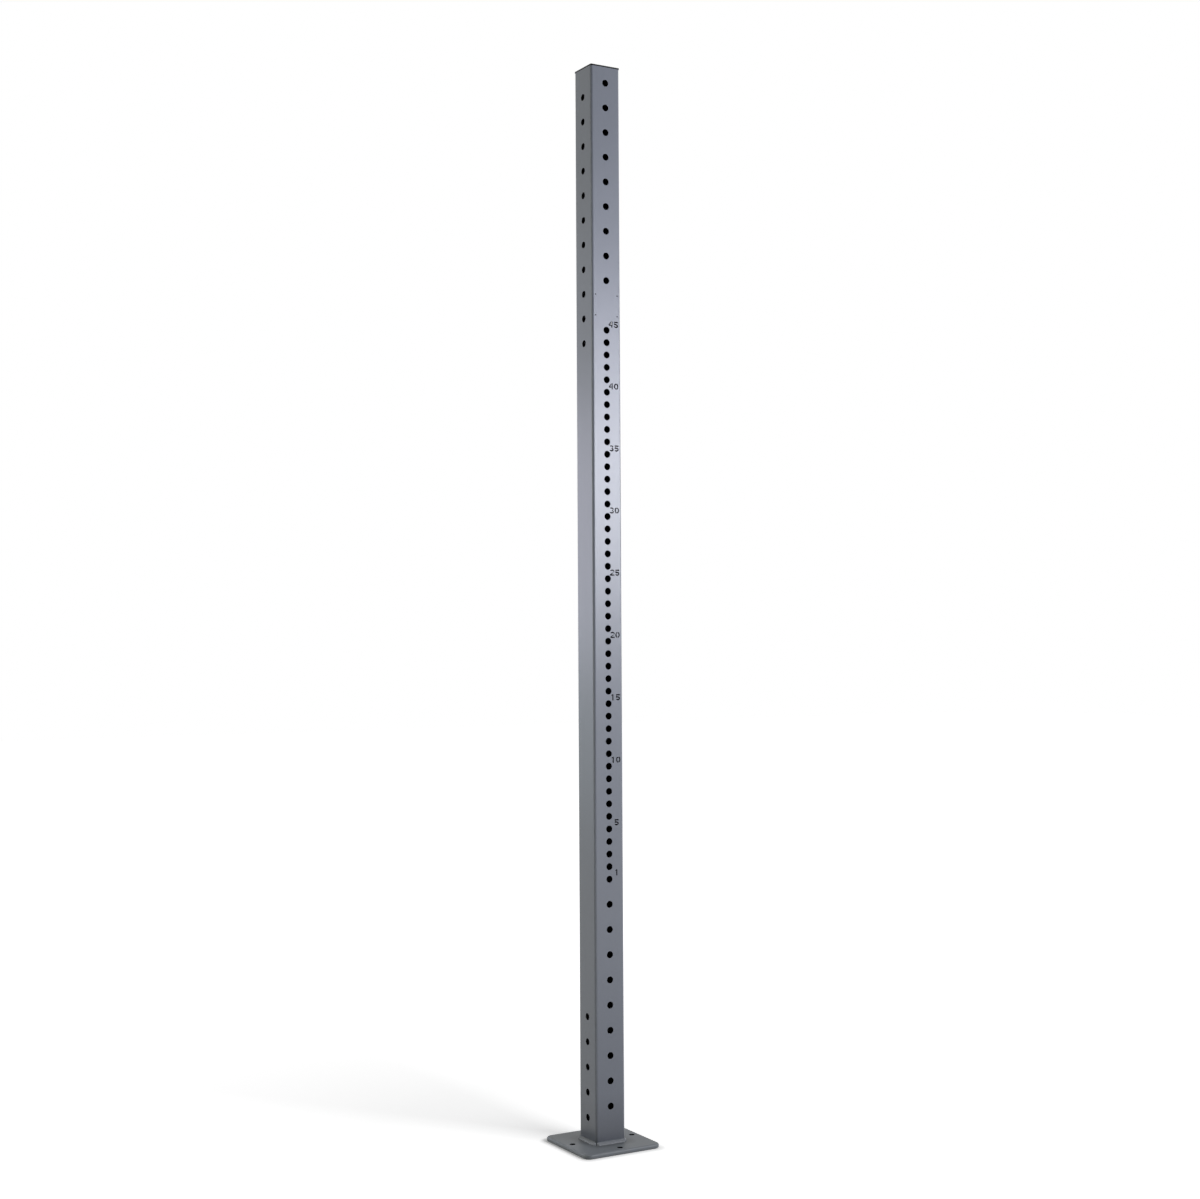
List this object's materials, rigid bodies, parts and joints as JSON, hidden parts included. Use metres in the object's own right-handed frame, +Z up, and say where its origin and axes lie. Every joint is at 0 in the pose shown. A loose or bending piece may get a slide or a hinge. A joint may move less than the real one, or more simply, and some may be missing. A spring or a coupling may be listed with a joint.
{
  "type": "rig upright",
  "caption": "Tall square steel rig upright with rows of round pin holes through its faces, a welded bolt-down foot plate and a black plastic end plug.",
  "frame": {"origin": "middle of the foot plate's underside, on the floor and on the post's axis", "axes": "+Z up along the post; -Y is the way the numbered front faces; +X is to the right of someone who looks at that front"},
  "size_m": [0.206, 0.206, 2.6028],
  "materials": {
    "powder_coat": "satin",
    "black_plastic": "satin"
  },
  "bodies": {
    "root": {"upright_tube": "powder_coat", "base_plate": "powder_coat", "weld_front": "powder_coat", "weld_right": "powder_coat", "weld_back": "powder_coat", "weld_left": "powder_coat", "top_cap": "black_plastic"}
  },
  "joints": []
}
